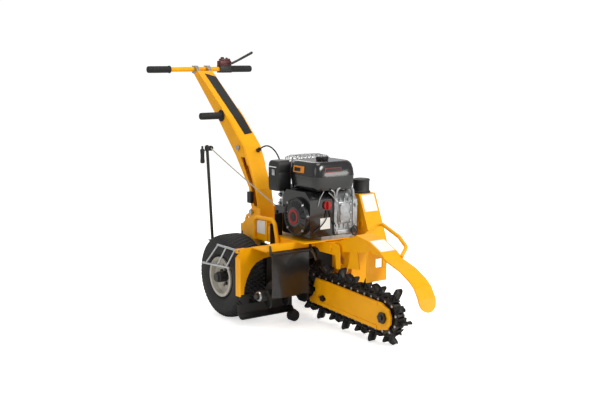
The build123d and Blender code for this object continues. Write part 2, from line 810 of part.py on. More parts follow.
with BuildPart() as drive_case:
    case = [(60, 320), (44, 150), (66, 92), (105, 80), (144, 92), (170, 150), (180, 320)]
    with BuildSketch(Plane.YZ.offset(-270)):
        with BuildLine():
            Polyline(*case, close=True)
        make_face()
    extrude(amount=95)
    with BuildSketch(Plane.YZ.offset(-266)):
        with BuildLine():
            Polyline((64, 321), (48, 151), (69, 95), (105, 84), (141, 95), (166, 151), (176, 321), close=True)
        make_face()
    extrude(amount=87, mode=Mode.SUBTRACT)
    with BuildSketch(Plane.YZ.offset(-180)):
        with Locations((head_y, head_z)):
            Circle(18)
    extrude(amount=10, mode=Mode.SUBTRACT)
drive_case.part.label = "drive_case"
export_step(drive_case.part, "parts/drive_case.step")

with BuildPart() as guard_cap:
    for i in range(7):
        with BuildSketch(Plane.XY.offset(560 + 9 * i)):
            with Locations((-218, 182)):
                Circle(41 if i % 2 else 37)
        extrude(amount=9)
guard_cap.part.label = "guard_cap"
export_step(guard_cap.part, "parts/guard_cap.step")

with BuildPart() as crank_pulley:
    with BuildSketch(crank_plane.offset(-234)):
        Circle(13)
    extrude(amount=69.7)
    with BuildSketch(crank_plane.offset(-232)):
        Circle(crank_pulley_r)
    extrude(amount=32)
crank_pulley.part.label = "crank_pulley"
export_step(crank_pulley.part, "parts/crank_pulley.step")

# ---------------------------------------------------- column, handlebar
half = column_w / 2
with BuildPart() as column_lower:
    with BuildSketch(Plane.YZ.offset(-half)):
        with BuildLine():
            Polyline((-503, 865), (-360, 735), (-265, 545), (-230, 386), (-278, 386), (-322, 500), (-325, 545), (-440, 690), (-588, 845), close=True)
        make_face()
    extrude(amount=column_w)
    with BuildSketch(Plane.YZ.offset(-half + 4)):
        with BuildLine():
            Polyline((-506, 862), (-363.5, 732.5), (-269, 544), (-234, 385), (-273.5, 385), (-317.5, 500), (-320.9, 546), (-436.5, 692), (-582, 846), (-575, 875), (-512, 880), close=True)
        make_face()
    extrude(amount=column_w - 8, mode=Mode.SUBTRACT)
    for x0 in (-half - 5, half):
        with BuildSketch(Plane.YZ.offset(x0)):
            with BuildLine():
                Polyline((-556, 904), (-510, 869), (-362, 735), (-320, 650), (-360, 650), (-470, 740), (-600, 868), close=True)
            make_face()
        extrude(amount=5)
    with BuildSketch(Plane.YZ.offset(-60)):
        with Locations((-404, 728)):
            Circle(9.3)
        with Locations((-270, 440)):
            Circle(8.3)
    extrude(amount=120, mode=Mode.SUBTRACT)
    # the channel is open on its right side
    with BuildSketch(Plane.YZ):
        with BuildLine():
            Polyline((-352, 686), (-277, 548), (-252, 466), (-284, 466), (-307, 545), (-372, 650), (-386, 686), close=True)
        make_face()
    extrude(amount=60, mode=Mode.SUBTRACT)
column_lower.part.label = "column_lower"
export_step(column_lower.part, "parts/column_lower.step")

with BuildPart() as column_upper:
    with BuildSketch(Plane.YZ.offset(-half)):
        with BuildLine():
            Polyline((-792, 1082), (-503, 865), (-588, 845), (-826, 1066), close=True)
        make_face()
    extrude(amount=column_w)
    with BuildSketch(Plane.YZ.offset(-half + 3.5)):
        with BuildLine():
            Polyline((-795, 1079), (-500, 857.5), (-580, 830), (-640, 850), (-840, 1040), (-822, 1062), close=True)
        make_face()
    extrude(amount=column_w - 7, mode=Mode.SUBTRACT)
column_upper.part.label = "column_upper"
export_step(column_upper.part, "parts/column_upper.step")

with BuildPart() as handlebar:
    with BuildSketch(Plane.YZ.offset(-290)):
        with Locations((bar_y, bar_z)):
            Circle(12)
            Circle(9.5, mode=Mode.SUBTRACT)
    extrude(amount=580)
handlebar.part.label = "handlebar"
export_step(handlebar.part, "parts/handlebar.step")

with BuildPart() as grips:
    for x0, x1, inner in ((bar_half, 180, 180), (-bar_half, -178, -178)):
        with BuildSketch(Plane.YZ.offset(x0)):
            with Locations((bar_y, bar_z)):
                Circle(17)
        extrude(amount=x1 - x0)
        with BuildSketch(Plane.YZ.offset(x1)):
            with Locations((bar_y, bar_z)):
                Circle(19)
        extrude(amount=5 if x0 > 0 else -5)
    with BuildSketch(Plane.YZ.offset(-290)):
        with Locations((bar_y, bar_z)):
            Circle(12)
    extrude(amount=580, mode=Mode.SUBTRACT)
grips.part.label = "grips"
export_step(grips.part, "parts/grips.step")

# two clamps that hold the bar on the column's top edge
with BuildPart() as bar_clamps:
    for x0 in (-half + 1, half - 17):
        with BuildSketch(Plane.YZ.offset(x0)):
            with BuildLine():
                Polyline((-850, 1108), (-814, 1108), (-792, 1082), (-826, 1066), (-850, 1072), close=True)
            make_face()
            with Locations((bar_y, bar_z)):
                Circle(12, mode=Mode.SUBTRACT)
        extrude(amount=16)
bar_clamps.part.label = "bar_clamps"
export_step(bar_clamps.part, "parts/bar_clamps.step")

with BuildPart() as control_box:
    with BuildSketch(Plane.XY.offset(1070)):
        with Locations((-138, -824)):
            RectangleRounded(72, 54, 3)
    extrude(amount=74)
    with BuildSketch(Plane.YZ.offset(-180)):
        with Locations((bar_y, bar_z)):
            Circle(12)
    extrude(amount=90, mode=Mode.SUBTRACT)
    # slot for the lever
    with Locations((-160, -806, 1128)):
        Box(44, 12, 40, mode=Mode.SUBTRACT)
control_box.part.label = "control_box"
export_step(control_box.part, "parts/control_box.step")

with BuildPart() as clutch_lever:
    with BuildSketch(Plane.XZ.offset(802)):
        with BuildLine():
            Polyline((-150, 1116), (-166, 1124), (-200, 1138), (-288, 1179), (-294, 1174), (-290, 1166), (-204, 1128), (-168, 1113), (-150, 1113), close=True)
        make_face()
    extrude(amount=8)
clutch_lever.part.label = "clutch_lever"
export_step(clutch_lever.part, "parts/clutch_lever.step")

with BuildPart() as side_grip:
    with BuildSketch(Plane.YZ.offset(half + 5)):
        with Locations((-556, 872)):
            Circle(28)
    extrude(amount=7)
    with BuildSketch(Plane.YZ.offset(half + 12)):
        with Locations((-556, 872)):
            Circle(17)
    extrude(amount=112)
side_grip.part.label = "side_grip"
export_step(side_grip.part, "parts/side_grip.step")

# clamp bolts, hinge bolts and the pivot pins of the column
with BuildPart() as column_bolts:
    for y, z, r, reach in ((-404, 728, 9, half + 9), (-270, 440, 8, 68)):
        with BuildSketch(Plane.YZ.offset(-reach)):
            with Locations((y, z)):
                Circle(r)
        extrude(amount=2 * reach)
        for x0 in (-reach - 6, reach):
            with BuildSketch(Plane.YZ.offset(x0)):
                with Locations((y, z)):
                    RegularPolygon(r + 5, 6)
            extrude(amount=6)
column_bolts.part.label = "column_bolts"
export_step(column_bolts.part, "parts/column_bolts.step")

# small switch box and cable gland on the column
with BuildPart() as switch_box:
    with Locations((half + 9, -300, 505)):
        Box(18, 30, 52)
    with BuildSketch(Plane(origin=(-24, -350, 715.2), z_dir=(0, 0.894, 0.447))):
        RegularPolygon(11, 6)
    extrude(amount=16)
switch_box.part.label = "switch_box"
export_step(switch_box.part, "parts/switch_box.step")

# -------------------------------------------------- remote starter rope
post_lean = (0, -40, 452)
with BuildPart() as rope_post:
    with BuildSketch(Plane(origin=(200, -398.5, 290), z_dir=post_lean)):
        Circle(7)
    extrude(amount=458)
    with Locations((66, -338, 325)):
        Box(14, 24, 40)
    with BuildSketch(Plane.XY.offset(305)):
        with BuildLine():
            Polyline((59, -350), (73, -350), (190, -420), (212, -420), (212, -388), (112, -326), (59, -326), close=True)
        make_face()
    extrude(amount=-5)
    # guide ring at the top
    with BuildSketch(Plane.XY.offset(720)):
        with Locations((200, -436.5)):
            Circle(12)
    extrude(amount=22)
    with BuildSketch(Plane.XZ.offset(428)):
        with Locations((184, 731)):
            Circle(12)
    extrude(amount=10)
rope_post.part.label = "rope_post"
export_step(rope_post.part, "parts/rope_post.step")

with BuildPart() as starter_grip:
    with Locations((226, -437, 735)):
        Cylinder(5, 16)
    with Locations((226, -437, 695)):
        Cylinder(11, 66)
starter_grip.part.label = "starter_grip"
export_step(starter_grip.part, "parts/starter_grip.step")

# --------------------------------------------------------------- cords
def cord_radii(points):
    """Arc radii for the corners of a cord's route, as large as the runs allow."""
    radii = []
    for a, b, c in zip(points, points[1:], points[2:]):
        before, after = Vector(*b) - Vector(*a), Vector(*c) - Vector(*b)
        run = min(before.length, after.length)
        radii.append(0.45 * run / tan(radians(before.get_angle(after)) / 2))
    return radii


# pull rope, tight from the guide ring to the recoil starter's snout
rope_route = [(184, -431, 731), (147, -216, 612), (112, 10, 504)]
with BuildPart() as starter_rope:
    with BuildLine() as rope_line:
        FilletPolyline(*rope_route, radius=cord_radii(rope_route))
    with BuildSketch(Plane(origin=rope_line.line @ 0, z_dir=rope_line.line % 0)):
        Circle(3)
    sweep()
starter_rope.part.label = "starter_rope"
export_step(starter_rope.part, "parts/starter_rope.step")
print("starter rope", rope_line.wires()[0].length, cord_radii(rope_route), starter_rope.part.volume / (pi * 9))

# stop-switch cable, loose from the gland on the column to the cylinder head
cable_route = [(-24, -335.7, 722.35), (-24, -295.5, 742.5), (-25, -246, 743), (-28, -200, 718), (-29, -166, 672),
               (-27, -147, 621), (-24, -124.6, 573), (-24, -83.8, 554)]
with BuildPart() as engine_cable:
    with BuildLine() as cable_line:
        FilletPolyline(*cable_route, radius=cord_radii(cable_route))
    with BuildSketch(Plane(origin=cable_line.line @ 0, z_dir=cable_line.line % 0)):
        Circle(3.5)
    sweep()
engine_cable.part.label = "engine_cable"
export_step(engine_cable.part, "parts/engine_cable.step")
print("engine cable", cable_line.wires()[0].length, cord_radii(cable_route), engine_cable.part.volume / (pi * 12.25))
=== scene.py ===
from math import cos, pi, radians, sin

import bmesh
import bpy
import numpy as np
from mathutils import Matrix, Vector


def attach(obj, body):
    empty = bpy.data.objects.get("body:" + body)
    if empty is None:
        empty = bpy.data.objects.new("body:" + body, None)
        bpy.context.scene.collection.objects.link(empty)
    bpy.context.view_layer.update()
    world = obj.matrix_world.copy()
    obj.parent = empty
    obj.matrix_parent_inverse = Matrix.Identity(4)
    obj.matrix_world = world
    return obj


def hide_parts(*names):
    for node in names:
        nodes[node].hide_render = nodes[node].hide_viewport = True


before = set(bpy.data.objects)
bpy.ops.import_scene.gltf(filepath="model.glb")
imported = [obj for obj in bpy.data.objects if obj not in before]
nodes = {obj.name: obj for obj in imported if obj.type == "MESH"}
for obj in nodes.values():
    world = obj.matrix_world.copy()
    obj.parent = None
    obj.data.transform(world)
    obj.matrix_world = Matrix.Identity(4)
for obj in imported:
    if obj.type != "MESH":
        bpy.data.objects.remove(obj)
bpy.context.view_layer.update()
mm = 0.001


def hexColour(code, alpha=1.0):
    # sRGB hex to the linear values that the shader wants
    parts = [int(code[i:i + 2], 16) / 255 for i in (1, 3, 5)]
    return tuple(c / 12.92 if c <= 0.04045 else ((c + 0.055) / 1.055) ** 2.4 for c in parts) + (alpha,)


def addNode(tree, kind, links=None, **settings):
    # adds one node, sets its properties or sockets, and links its inputs
    node = tree.nodes.new(kind)
    for key, value in settings.items():
        if hasattr(node, key):
            setattr(node, key, value)
        else:
            node.inputs[key.replace("_", " ")].default_value = value
    for socket, source in (links or {}).items():
        tree.links.new(source, node.inputs[socket])
    return node


def newMaterial(name, roughness=0.5, metallic=0.0, coat=0.0, coatRoughness=0.1, ior=1.5, sheen=0.0):
    material = bpy.data.materials.new(name)
    material.use_nodes = True
    tree = material.node_tree
    shader = tree.nodes["Principled BSDF"]
    shader.inputs["Roughness"].default_value = roughness
    shader.inputs["Metallic"].default_value = metallic
    shader.inputs["Coat Weight"].default_value = coat
    shader.inputs["Coat Roughness"].default_value = coatRoughness
    shader.inputs["Sheen Weight"].default_value = sheen
    if not metallic:
        shader.inputs["IOR"].default_value = ior
    return material, tree, shader


def finishMaterial(name, look):
    # one surface finish: two close colours in patches, worn or dusty spots, uneven gloss and a fine bump
    material, tree, shader = newMaterial(name, look["rough"][0], look.get("metallic", 0.0), look.get("coat", 0.0),
                                         look.get("coatRough", 0.1), look.get("ior", 1.5), look.get("sheen", 0.0))
    coords = addNode(tree, "ShaderNodeTexCoord").outputs["Object"]
    stretch = addNode(tree, "ShaderNodeMapping", {"Vector": coords}, Scale=look.get("stretch", (1, 1, 1))).outputs[0]
    patches = addNode(tree, "ShaderNodeTexNoise", {"Vector": stretch}, Scale=1000 / look["patchMm"], Detail=4.0, Roughness=0.6)
    blend = addNode(tree, "ShaderNodeMapRange", {"Value": patches.outputs["Fac"]})
    blend.inputs["From Min"].default_value, blend.inputs["From Max"].default_value = 0.35, 0.7
    colours = addNode(tree, "ShaderNodeMix", {"Factor": blend.outputs[0]}, data_type="RGBA")
    colours.inputs["A"].default_value = hexColour(look["colours"][0])
    colours.inputs["B"].default_value = hexColour(look["colours"][1])
    colour = colours.outputs["Result"]
    if "spots" in look:  # dust, scuffs or rust in small specks
        speck = addNode(tree, "ShaderNodeTexNoise", {"Vector": coords}, Scale=1000 / look["spots"]["mm"], Detail=6.0, Roughness=0.7)
        cut = addNode(tree, "ShaderNodeMapRange", {"Value": speck.outputs["Fac"]})
        cut.inputs["From Min"].default_value, cut.inputs["From Max"].default_value = look["spots"]["edge"]
        cut.inputs["To Max"].default_value = look["spots"]["amount"]
        spotted = addNode(tree, "ShaderNodeMix", {"Factor": cut.outputs[0], "A": colour}, data_type="RGBA")
        spotted.inputs["B"].default_value = hexColour(look["spots"]["colour"])
        colour = spotted.outputs["Result"]
    tree.links.new(colour, shader.inputs["Base Color"])
    gloss = addNode(tree, "ShaderNodeMapRange", {"Value": patches.outputs["Fac"]})
    gloss.inputs["To Min"].default_value, gloss.inputs["To Max"].default_value = look["rough"]
    tree.links.new(gloss.outputs[0], shader.inputs["Roughness"])
    grain = addNode(tree, "ShaderNodeTexNoise", {"Vector": stretch}, Scale=1000 / look["grainMm"], Detail=look.get("grainDetail", 2.0))
    bumpDepth = look["grainMm"] * mm * 0.3
    bump = addNode(tree, "ShaderNodeBump", {"Height": grain.outputs["Fac"]}, Strength=look["bump"], Distance=bumpDepth)
    if look.get("edgeMm"):  # rolled or ground edges, rounded in the shading
        rounding = addNode(tree, "ShaderNodeBevel", samples=4, Radius=look["edgeMm"] * mm)
        tree.links.new(rounding.outputs[0], bump.inputs["Normal"])
    tree.links.new(bump.outputs[0], shader.inputs["Normal"])
    return material


# every finish: sRGB colours, patch and grain sizes in millimetres, roughness range
finishes = {
    # electrostatic powder coat on sheet steel: rich orange-yellow with a faint orange peel and a clear gloss
    "yellowPowderCoat": dict(colours=("#F8AE00", "#F0A400"), patchMm=90, rough=(0.34, 0.46), coat=0.08, coatRough=0.15, ior=1.3,
                             grainMm=2.2,
                             bump=0.12, edgeMm=1.2, spots=dict(mm=7, edge=(0.68, 0.8), amount=0.18, colour="#8A6A2A")),
    # satin black powder coat on tube and plate: soft grey highlights
    "blackPowderCoat": dict(colours=("#161616", "#1F1F1F"), patchMm=60, rough=(0.38, 0.55), grainMm=1.8, bump=0.15, edgeMm=1.0,
                            spots=dict(mm=5, edge=(0.66, 0.8), amount=0.25, colour="#5A564F")),
    # gloss black stoved enamel on the tank and covers
    "blackStoveEnamel": dict(colours=("#0E0E0F", "#141415"), patchMm=80, rough=(0.16, 0.26), coat=0.4, coatRough=0.06, grainMm=3.0,
                             bump=0.05, edgeMm=1.0),
    # moulded ABS: matt black with a fine spark-eroded texture
    "blackAbs": dict(colours=("#171718", "#202021"), patchMm=40, rough=(0.42, 0.6), grainMm=0.9, bump=0.25, edgeMm=0.8),
    # moulded red ABS
    "redAbs": dict(colours=("#A3140F", "#8E100C"), patchMm=30, rough=(0.3, 0.42), grainMm=0.9, bump=0.15, edgeMm=0.6),
    # dark red moulding of the throttle and brake housing
    "darkRedAbs": dict(colours=("#5A1412", "#42100F"), patchMm=20, rough=(0.32, 0.5), grainMm=1.2, bump=0.2, edgeMm=0.8),
    # natural rubber compound: dull, slightly grey and dusty
    "softRubber": dict(colours=("#161617", "#232324"), patchMm=35, rough=(0.62, 0.8), grainMm=1.2, bump=0.3, edgeMm=0.8,
                       spots=dict(mm=6, edge=(0.6, 0.8), amount=0.2, colour="#4C4A46")),
    # calendered rubber sheet: smoother and shinier, with a soft vertical grain
    "glossRubber": dict(colours=("#101011", "#18181A"), patchMm=60, rough=(0.2, 0.3), coat=0.3, grainMm=3.0, stretch=(1, 1, 0.2), bump=0.12),
    # tyre rubber: dark with grey dust in the tread
    "tyreRubber": dict(colours=("#1A1A1B", "#262626"), patchMm=25, rough=(0.66, 0.85), grainMm=1.6, bump=0.35,
                       spots=dict(mm=9, edge=(0.55, 0.8), amount=0.3, colour="#55524C")),
    # stoved enamel on the pressed rims: warm light grey
    "greyRimEnamel": dict(colours=("#B8B2A6", "#A49E92"), patchMm=30, rough=(0.34, 0.5), coat=0.2, grainMm=2.0, bump=0.1, edgeMm=1.0,
                          spots=dict(mm=8, edge=(0.6, 0.8), amount=0.3, colour="#5E564A")),
    # bright zinc plate on bolts and clamps
    "zincPlate": dict(colours=("#C6C8CA", "#A9ABAE"), patchMm=12, metallic=1.0, rough=(0.24, 0.42), grainMm=1.0, bump=0.1, edgeMm=0.6),
    # dark oiled steel of the chain, shaft and rollers
    "oiledSteel": dict(colours=("#3C3A38", "#5A5652"), patchMm=9, metallic=0.9, rough=(0.3, 0.5), grainMm=1.0, bump=0.2, edgeMm=0.7,
                       spots=dict(mm=5, edge=(0.6, 0.75), amount=0.4, colour="#2A2018")),
    # black painted, hard-faced cutters with ground bright corners
    "cutterSteel": dict(colours=("#1B1B1B", "#2C2B2A"), patchMm=8, metallic=0.5, rough=(0.35, 0.55), grainMm=1.4, bump=0.3, edgeMm=0.8,
                        spots=dict(mm=5, edge=(0.6, 0.72), amount=0.5, colour="#6A6660")),
    # sand-textured die-cast aluminium
    "castAluminium": dict(colours=("#B4B6B8", "#9C9EA0"), patchMm=18, metallic=1.0, rough=(0.38, 0.55), grainMm=1.1, bump=0.3, edgeMm=0.9,
                          spots=dict(mm=10, edge=(0.6, 0.8), amount=0.3, colour="#55524E")),
    # printed vinyl labels: white, black, amber and dark red
    "whiteVinyl": dict(colours=("#ECEBE6", "#E2E1DC"), patchMm=25, rough=(0.35, 0.5), grainMm=1.5, bump=0.05),
    "blackVinyl": dict(colours=("#101010", "#181818"), patchMm=25, rough=(0.25, 0.4), grainMm=1.5, bump=0.05),
    "amberVinyl": dict(colours=("#E08A12", "#D98310"), patchMm=25, rough=(0.35, 0.5), grainMm=1.5, bump=0.05),
    "redVinyl": dict(colours=("#8E1B16", "#7E1612"), patchMm=25, rough=(0.35, 0.5), grainMm=1.5, bump=0.05),
    # braided polyester rope: pale grey with a fine twill
    "braidedRope": dict(colours=("#BDB6A8", "#8F887B"), patchMm=2.5, rough=(0.7, 0.85), sheen=0.3, grainMm=1.2, bump=0.5),
}
materials = {name: finishMaterial(name, look) for name, look in finishes.items()}
print("materials:", len(materials))

nodeFinish = {
    "yellowPowderCoat": ["chassis", "column_foot", "side_hoop", "auger_housing", "handlebar", "boom", "boom_arm", "crumber_arm",
                         "crumber_handle", "belt_guard", "drive_case", "column_lower", "column_upper"],
    "blackPowderCoat": ["hub_right", "hub_left", "trough_plate", "curtain_rod", "bearing_plates", "clutch_lever", "rope_post",
                        "muffler_guard", "auger"],
    "blackStoveEnamel": ["fan_shroud", "recoil_cover", "fuel_tank"],
    "blackAbs": ["dipstick", "fuel_cap", "air_cleaner", "choke_lever", "guard_cap", "control_box", "switch_box"],
    "redAbs": ["engine_switch"],
    "softRubber": ["rest_foot", "curtain", "grips", "side_grip", "starter_grip", "engine_cable"],
    "tyreRubber": ["tyre_right", "tyre_left"],
    "greyRimEnamel": ["rim_right", "rim_left"],
    "zincPlate": ["wire_guard", "bar_clamps", "column_bolts"],
    "oiledSteel": ["boom_bolts", "axle_bar", "head_shaft", "drive_sprocket", "shaft_bearings", "nose_roller", "chain", "crank_pulley", "muffler"],
    "cutterSteel": ["cutters_right", "cutters_left"],
    "castAluminium": ["engine_block", "cylinder"],
    "braidedRope": ["starter_rope"],
}
for finish, names in nodeFinish.items():
    for name in names:
        nodes[name].data.materials.clear()
        nodes[name].data.materials.append(materials[finish])
print("CAD nodes finished:", sum(len(n) for n in nodeFinish.values()), "of", len(nodes))


def addMesh(name, verts, faces, finish, body, slot=None, replaces=(), smooth=True, sharp=35):
    mesh = bpy.data.meshes.new(name)
    mesh.from_pydata(np.asarray(verts, float).reshape(-1, 3).tolist(), [], [list(map(int, f)) for f in faces])
    mesh.validate()
    work = bmesh.new()
    work.from_mesh(mesh)
    bmesh.ops.remove_doubles(work, verts=work.verts, dist=1e-6)
    bmesh.ops.recalc_face_normals(work, faces=work.faces)
    for face in work.faces:
        face.smooth = smooth
    for edge in work.edges:
        edge.smooth = len(edge.link_faces) != 2 or edge.calc_face_angle(0) < radians(sharp)
    work.to_mesh(mesh)
    work.free()
    piece = bpy.data.objects.new(name, mesh)
    bpy.context.scene.collection.objects.link(piece)
    mesh.materials.append(materials[finish])
    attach(piece, body)
    if replaces:
        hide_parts(*replaces)
    return piece


def gridFaces(nu, nv, wrapU=False, wrapV=True, capStart=True, capEnd=True, start=0):
    # quads of a (nu, nv) grid of points, with flat caps on the first and last rows
    rows, cols = (nu if wrapU else nu - 1), (nv if wrapV else nv - 1)
    i, j = np.meshgrid(np.arange(rows), np.arange(cols), indexing="ij")
    i2, j2 = (i + 1) % nu, (j + 1) % nv
    quads = np.stack([i * nv + j, i2 * nv + j, i2 * nv + j2, i * nv + j2], -1).reshape(-1, 4) + start
    faces = quads.tolist()
    if not wrapU and wrapV:
        if capStart:
            faces.append([start + k for k in range(nv)])
        if capEnd:
            faces.append([start + (nu - 1) * nv + k for k in range(nv)][::-1])
    return faces


def mergeParts(parts):
    # joins (verts, faces) pairs into one pair
    verts, faces, start = [], [], 0
    for points, quads in parts:
        points = np.asarray(points, float).reshape(-1, 3)
        verts.append(points)
        faces += [[k + start for k in f] for f in quads]
        start += len(points)
    return np.concatenate(verts), faces


def turnedSurface(profile, centre, axis=(1, 0, 0), segments=48):
    # a profile of (along, radius) pairs turned about an axis: point = centre + along*axis + radius*(cos a*u + sin a*v)
    profile = np.asarray(profile, float) * mm
    axis = np.asarray(Vector(axis).normalized())
    u = np.asarray(Vector(axis).orthogonal().normalized())
    v = np.cross(axis, u)
    a = np.linspace(0, 2 * pi, segments, endpoint=False)
    ring = np.cos(a)[:, None] * u + np.sin(a)[:, None] * v
    points = np.asarray(centre) * mm + profile[:, :1, None] * axis[None, None] + profile[:, 1][:, None, None] * ring[None]
    return points, gridFaces(len(profile), segments)


def sweptTube(path, radius, segments=14, closed=False):
    # a circle carried along a path of points, kept from twisting by carrying its frame along
    path = np.asarray(path, float)
    tangents = np.gradient(path, axis=0)
    tangents /= np.linalg.norm(tangents, axis=1)[:, None]
    side = np.cross(tangents[0], (0.3, 0.5, 0.8))
    frames = []
    for t in tangents:
        side = side - t * (side @ t)
        side /= np.linalg.norm(side)
        frames.append(side)
    sides = np.array(frames)
    ups = np.cross(tangents, sides)
    a = np.linspace(0, 2 * pi, segments, endpoint=False)
    radius = np.broadcast_to(radius, len(path))
    circle = np.cos(a)[None, :, None] * sides[:, None] + np.sin(a)[None, :, None] * ups[:, None]
    points = path[:, None] + radius[:, None, None] * circle
    return points, gridFaces(len(path), segments)


def plate(corners, thickness, inset=0.0):
    # a thin plate: a flat outline given a thickness along its own normal
    corners = np.asarray(corners, float) * mm
    normal = np.cross(corners[1] - corners[0], corners[2] - corners[1])
    normal /= np.linalg.norm(normal)
    back = corners + normal * thickness * mm
    n = len(corners)
    faces = [list(range(n))[::-1], list(range(n, 2 * n))] + [[k, (k + 1) % n, n + (k + 1) % n, n + k] for k in range(n)]
    return np.concatenate([corners, back]), faces


def smoothStep(x, low, high):
    t = np.clip((x - low) / (high - low), 0, 1)
    return t * t * (3 - 2 * t)


# camera: degrees and metres, turned about the machine's axle line
view = dict(azimuth=145.7, distance=4.427, height=1.156, pitch=8.38, lens=58.7, yaw=-1.388, machineY=-0.16)
turn = radians(view["azimuth"])
side = radians(view["yaw"])
ahead = Vector((-sin(turn), cos(turn), 0))
ahead = Vector((ahead.x * cos(side) - ahead.y * sin(side), ahead.x * sin(side) + ahead.y * cos(side), 0))
look = Vector((ahead.x * cos(radians(view["pitch"])), ahead.y * cos(radians(view["pitch"])), -sin(radians(view["pitch"]))))
camera = bpy.data.objects.new("camera", bpy.data.cameras.new("camera"))
bpy.context.scene.collection.objects.link(camera)
camera.location = (view["distance"] * sin(turn), -view["distance"] * cos(turn) + view["machineY"], view["height"])
camera.rotation_euler = look.to_track_quat("-Z", "Y").to_euler()
camera.data.lens, camera.data.sensor_width = view["lens"], 36
camera.data.clip_end = 100
bpy.context.scene.camera = camera

floorMaterial, floorTree, floorShader = newMaterial("paleFloor", 0.9)
floorShader.inputs["Base Color"].default_value = hexColour("#F2F2F1")
floorShader.inputs["Emission Color"].default_value = (1, 1, 1, 1)
floorSeen = addNode(floorTree, "ShaderNodeMapRange", {"Value": addNode(floorTree, "ShaderNodeLightPath").outputs["Is Camera Ray"]})
floorSeen.inputs["To Max"].default_value = 0.6
floorTree.links.new(floorSeen.outputs[0], floorShader.inputs["Emission Strength"])
floorMesh = bpy.data.meshes.new("floor")
floorMesh.from_pydata([(-30, -30, 0), (30, -30, 0), (30, 30, 0), (-30, 30, 0)], [], [(0, 1, 2, 3)])
floorMesh.materials.append(floorMaterial)
floor = bpy.data.objects.new("floor", floorMesh)
bpy.context.scene.collection.objects.link(floor)

world = bpy.data.worlds.new("studio")
bpy.context.scene.world = world
world.use_nodes = True
backdrop = world.node_tree.nodes["Background"]
backdrop.inputs["Color"].default_value = (1, 1, 1, 1)
# the sweep is white where it is seen and softer where it lights the machine
rayKind = addNode(world.node_tree, "ShaderNodeLightPath")
seen = addNode(world.node_tree, "ShaderNodeMapRange", {"Value": rayKind.outputs["Is Camera Ray"]})
seen.inputs["To Min"].default_value, seen.inputs["To Max"].default_value = 0.5, 1.05
world.node_tree.links.new(seen.outputs[0], backdrop.inputs["Strength"])
bpy.context.scene.view_settings.view_transform = "Standard"
lights = {
    "keySoftbox": dict(at=(-1.4, 4.4, 3.2), size=1.8, power=138),
    "fillSoftbox": dict(at=(3.4, 0.4, 2.0), size=2.4, power=22),
    "backSoftbox": dict(at=(-1.5, -3.4, 3.0), size=2.6, power=45),
    "topSoftbox": dict(at=(0.2, 0.4, 4.2), size=2.2, power=46),
    "lowSoftbox": dict(at=(-2.6, 3.6, 0.7), size=0.7, power=11),
}
for name, spec in lights.items():
    lamp = bpy.data.lights.new(name, "AREA")
    lamp.shape, lamp.size, lamp.energy = "DISK", spec["size"], spec["power"]
    lamp.color = hexColour("#FFFDF8")[:3]
    holder = bpy.data.objects.new(name, lamp)
    holder.location = spec["at"]
    holder.rotation_euler = (Vector((0, 0, 0.45)) - Vector(spec["at"])).to_track_quat("-Z", "Y").to_euler()
    bpy.context.scene.collection.objects.link(holder)
print("stage ready")


def addCord(name, points, diameter, finish, body="machine"):
    # a smooth NURBS line through the route's control points, in metres
    curve = bpy.data.curves.new(name, "CURVE")
    curve.dimensions = "3D"
    spline = curve.splines.new("NURBS")
    spline.points.add(len(points) - 1)
    for point, place in zip(spline.points, points):
        point.co = (*place, 1)
    spline.order_u = 3
    spline.use_endpoint_u = True
    spline.resolution_u = 12
    curve.bevel_depth = diameter / 2
    curve.bevel_resolution = 3
    curve.use_fill_caps = True
    cord = bpy.data.objects.new(name, curve)
    bpy.context.scene.collection.objects.link(cord)
    curve.materials.append(materials[finish])
    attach(cord, body)
    return cord


pullRope = addCord("pullRope", [(0.184, -0.431, 0.731), (0.147, -0.216, 0.612), (0.112, 0.010, 0.504)], 0.006, "braidedRope")
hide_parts("starter_rope")

stopCable = addCord("stopCable", [(-0.024, -0.3357, 0.72235), (-0.024, -0.2955, 0.7425), (-0.025, -0.246, 0.743), (-0.028, -0.2, 0.718),
                                  (-0.029, -0.166, 0.672), (-0.027, -0.147, 0.621), (-0.024, -0.1246, 0.573), (-0.024, -0.0838, 0.554)],
                    0.007, "softRubber")
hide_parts("engine_cable")
print("cords ready")


# turf tyres with blocks in rows
tyre = dict(centre=(236, -160, 186), pitches=60, lugDepth=5.5, around=1080, across=84,
            outline=((-56, 79), (-57, 94), (-69, 103), (-74.6, 124), (-74.8, 140), (-73, 158), (-66, 173), (-54, 182), (-32, 185.8),
                     (0, 186), (32, 185.8), (54, 182), (66, 173), (73, 158), (74.8, 140), (74.6, 124), (69, 103), (57, 94), (56, 79)))


